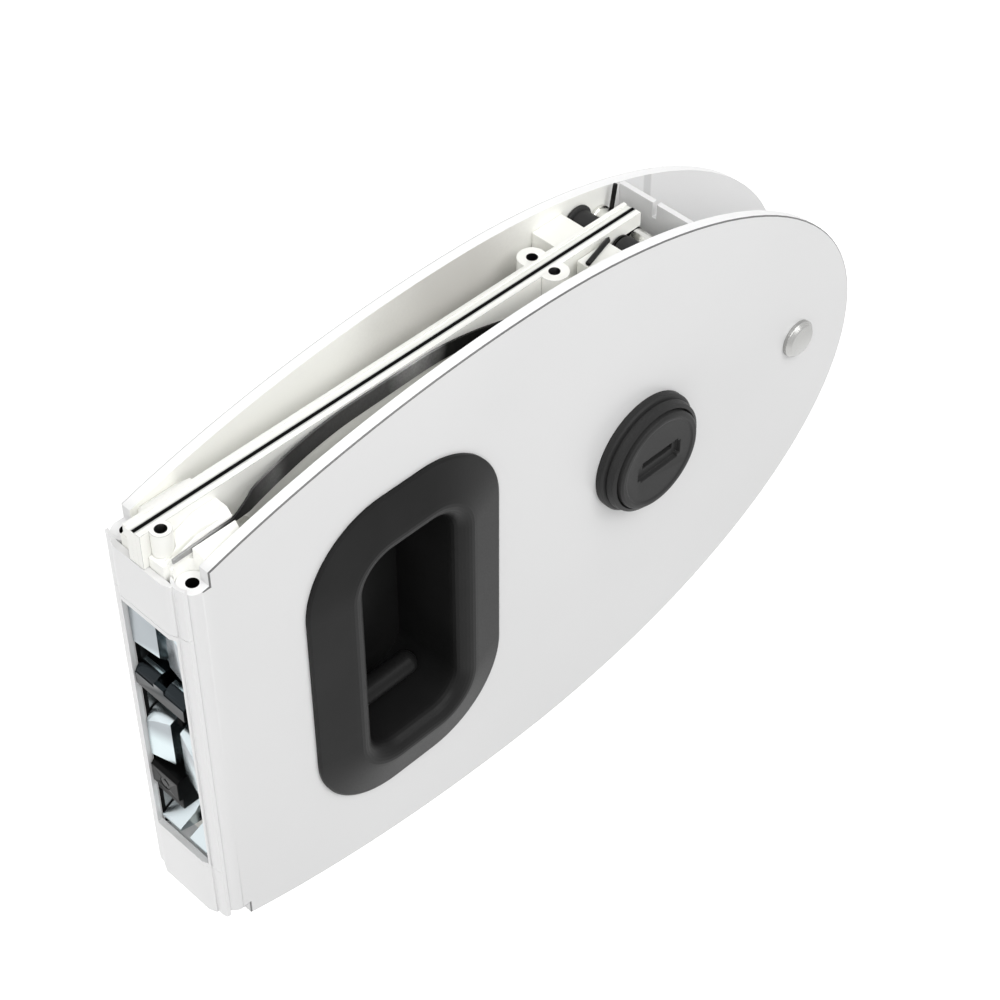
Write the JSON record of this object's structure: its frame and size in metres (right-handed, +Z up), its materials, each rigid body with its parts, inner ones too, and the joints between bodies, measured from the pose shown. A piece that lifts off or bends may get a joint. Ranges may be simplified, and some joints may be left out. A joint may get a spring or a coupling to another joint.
{
  "type": "flush door latch",
  "caption": "Half-oval sliding door latch case with hook bolts in a narrow forend, a flush finger pull with a lever and a key cylinder on one face",
  "frame": {"origin": "centre of the forend's outer face, on the middle plane of the case", "axes": "+X from the forend to the curved tip, +Y through the thickness away from the finger pull, +Z up along the forend"},
  "size_m": [0.2086, 0.0337, 0.1348],
  "materials": {
    "cover_enamel": "light grey satin enamel",
    "forend_enamel": "pale satin enamel",
    "web_white": "white enamel",
    "black_rubber": "black, dull",
    "white_plastic": "white moulded",
    "black_plastic": "black, fine satin grain",
    "zinc_steel": "bright zinc plated, slightly blue",
    "spring_steel": "blackened spring steel",
    "bright_steel": "turned, bright",
    "sheet_grey": "grey sheet"
  },
  "bodies": {
    "case": {"front_cover": "cover_enamel", "back_cover": "cover_enamel", "upper_forend_cap": "forend_enamel", "mouth_frame": "forend_enamel", "lower_forend_cap": "forend_enamel", "web_front_wall": "web_white", "web_back_wall": "web_white", "web_core": "black_rubber", "front_filler": "white_plastic", "back_filler": "white_plastic", "front_case_plate": "zinc_steel", "back_case_plate": "zinc_steel", "case_posts": "zinc_steel", "upper_hook_pin": "zinc_steel", "lower_hook_pin": "zinc_steel", "lever_pin": "zinc_steel", "handle_cup": "black_plastic", "cup_retainer": "bright_steel", "cover_standoffs": "bright_steel", "front_leaf_spring": "spring_steel", "cylinder_ring": "black_plastic", "cylinder_nut": "bright_steel", "end_blocks": "white_plastic", "roller_shaft": "bright_steel", "roller_springs": "spring_steel", "cross_shaft": "bright_steel", "shaft_clip": "spring_steel", "cross_plate": "sheet_grey", "spacer_pin": "bright_steel", "pin_collar": "bright_steel"},
    "rollers": {"rollers": "black_plastic"},
    "upper_hook": {"upper_hook": "zinc_steel", "upper_drive_pin": "zinc_steel"},
    "lower_hook": {"lower_hook": "zinc_steel", "lower_drive_pin": "zinc_steel", "hook_buffer": "black_plastic", "buffer_screw": "zinc_steel"},
    "drive": {"drive_plate": "zinc_steel", "link_bar": "zinc_steel", "link_rivets": "zinc_steel"},
    "finger_lever": {"finger_lever": "black_plastic", "lever_drive_pin": "zinc_steel"},
    "plug": {"cylinder_plug": "black_plastic", "cylinder_cam": "zinc_steel", "cam_screw": "zinc_steel"}
  },
  "joints": [
    {"name": "drive_slide", "type": "slide", "parent": "case", "child": "drive", "axis": [1, 0, 0], "range_m": [0, 0.007]},
    {"name": "upper_hook_turn", "type": "hinge", "parent": "case", "child": "upper_hook", "pos_m": [0.0114, 0, 0.017], "axis": [0, -1, 0], "range_deg": [0, 60.1]},
    {"name": "lower_hook_turn", "type": "hinge", "parent": "case", "child": "lower_hook", "pos_m": [0.0116, 0, -0.005], "axis": [0, 1, 0], "range_deg": [0, 45.1]},
    {"name": "finger_lever_turn", "type": "hinge", "parent": "case", "child": "finger_lever", "pos_m": [0.0344, 0, -0.0227], "axis": [0, -1, 0], "range_deg": [0, 40.1]},
    {"name": "plug_turn", "type": "hinge", "parent": "case", "child": "plug", "pos_m": [0.1326, 0, 0.0035], "axis": [0, 1, 0], "range_deg": [0, 90.1]},
    {"name": "roller_spin", "type": "hinge", "parent": "case", "child": "rollers", "pos_m": [0.1335, 0, 0.0568], "axis": [0, 1, 0], "continuous": true}
  ],
  "couplings": [
    {"joint": "upper_hook_turn", "follows": "drive_slide", "rad_per_m": 149.6},
    {"joint": "lower_hook_turn", "follows": "drive_slide", "rad_per_m": 112.2},
    {"joint": "finger_lever_turn", "follows": "drive_slide", "rad_per_m": 99.733},
    {"joint": "plug_turn", "follows": "drive_slide", "rad_per_m": 224.4}
  ]
}
